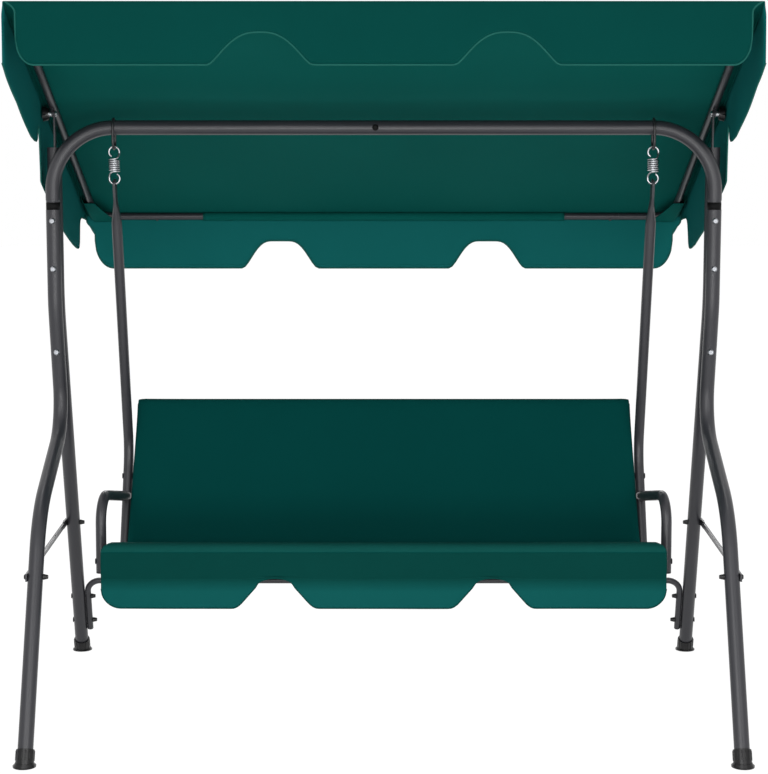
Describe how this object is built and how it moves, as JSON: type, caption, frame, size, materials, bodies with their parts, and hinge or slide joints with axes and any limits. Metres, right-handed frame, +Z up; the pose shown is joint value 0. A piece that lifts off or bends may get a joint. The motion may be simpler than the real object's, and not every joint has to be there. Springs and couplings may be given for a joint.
{
  "type": "garden swing seat",
  "caption": "Free-standing garden swing: tube stand, tilting fabric canopy and a padded bench hung on coil springs that swings under an arched top beam.",
  "frame": {"origin": "middle of the object's box on the ground between the feet", "axes": "+Z up, the front faces -Y, +X to the right as seen from the front"},
  "size_m": [1.7, 1.2858, 1.6786],
  "materials": {
    "frame_paint": "satin",
    "zinc_steel": "bright zinc",
    "black_plastic": "matte",
    "canopy_fabric": "woven",
    "seat_fabric": "woven"
  },
  "bodies": {
    "stand": {"top_beam_left": "frame_paint", "top_beam_right": "frame_paint", "beam_joint_bolt": "zinc_steel", "beam_joint_nut": "zinc_steel", "front_leg_left": "frame_paint", "front_leg_right": "frame_paint", "rear_leg_left": "frame_paint", "rear_leg_right": "frame_paint", "side_brace_left": "frame_paint", "side_brace_right": "frame_paint", "canopy_bracket_left": "frame_paint", "canopy_bracket_right": "frame_paint", "foot_cap_front_left": "black_plastic", "foot_cap_front_right": "black_plastic", "foot_cap_rear_left": "black_plastic", "foot_cap_rear_right": "black_plastic", "rear_cross_tube": "frame_paint", "leg_bolts": "zinc_steel", "leg_nuts": "zinc_steel", "leg_spacers": "frame_paint", "brace_bolts": "zinc_steel", "brace_cap_nuts": "black_plastic", "cross_tube_bolts": "zinc_steel", "cross_tube_cap_nuts": "black_plastic"},
    "hangers": {"hanger_ring_left": "frame_paint", "hanger_ring_right": "frame_paint", "spring_left": "zinc_steel", "spring_right": "zinc_steel"},
    "seat": {"hanger_tube_left": "frame_paint", "hanger_tube_right": "frame_paint", "armrest_left": "frame_paint", "armrest_right": "frame_paint", "seat_frame": "frame_paint", "seat_rear_tube": "frame_paint", "back_frame": "frame_paint", "seat_sling": "seat_fabric", "seat_pad": "seat_fabric", "back_pad": "seat_fabric", "seat_valance": "seat_fabric", "seat_bolts": "zinc_steel", "seat_nuts": "zinc_steel", "seat_spacers": "frame_paint", "arm_inserts": "black_plastic", "tube_plugs": "black_plastic"},
    "canopy": {"canopy_side_tube_left": "frame_paint", "canopy_side_tube_right": "frame_paint", "canopy_front_tube": "frame_paint", "canopy_rear_tube": "frame_paint", "canopy_screws": "zinc_steel", "tilt_bolts": "zinc_steel", "tilt_bushes": "zinc_steel", "canopy_roof": "canopy_fabric", "front_valance": "canopy_fabric", "rear_valance": "canopy_fabric", "side_valance_left": "canopy_fabric", "side_valance_right": "canopy_fabric"},
    "knob_left": {"tilt_knob_left": "black_plastic"},
    "knob_right": {"tilt_knob_right": "black_plastic"}
  },
  "joints": [
    {"name": "swing", "type": "hinge", "parent": "stand", "child": "hangers", "pos_m": [0, -0.08089, 1.413], "axis": [1, 0, 0], "range_deg": [-20, 20]},
    {"name": "bounce", "type": "slide", "parent": "hangers", "child": "seat", "axis": [0, 0, -1], "range_m": [0, 0.025], "stiffness_N_per_m": 66000, "springref_m": -0.0036, "deforming": ["spring_left", "spring_right"]},
    {"name": "canopy_tilt", "type": "hinge", "parent": "stand", "child": "canopy", "pos_m": [0, -0.04539, 1.446], "axis": [1, 0, 0], "range_deg": [-5, 42]},
    {"name": "knob_left_turn", "type": "hinge", "parent": "canopy", "child": "knob_left", "pos_m": [0, -0.04539, 1.446], "axis": [1, 0, 0], "continuous": true},
    {"name": "knob_right_turn", "type": "hinge", "parent": "canopy", "child": "knob_right", "pos_m": [0, -0.04539, 1.446], "axis": [1, 0, 0], "continuous": true}
  ]
}
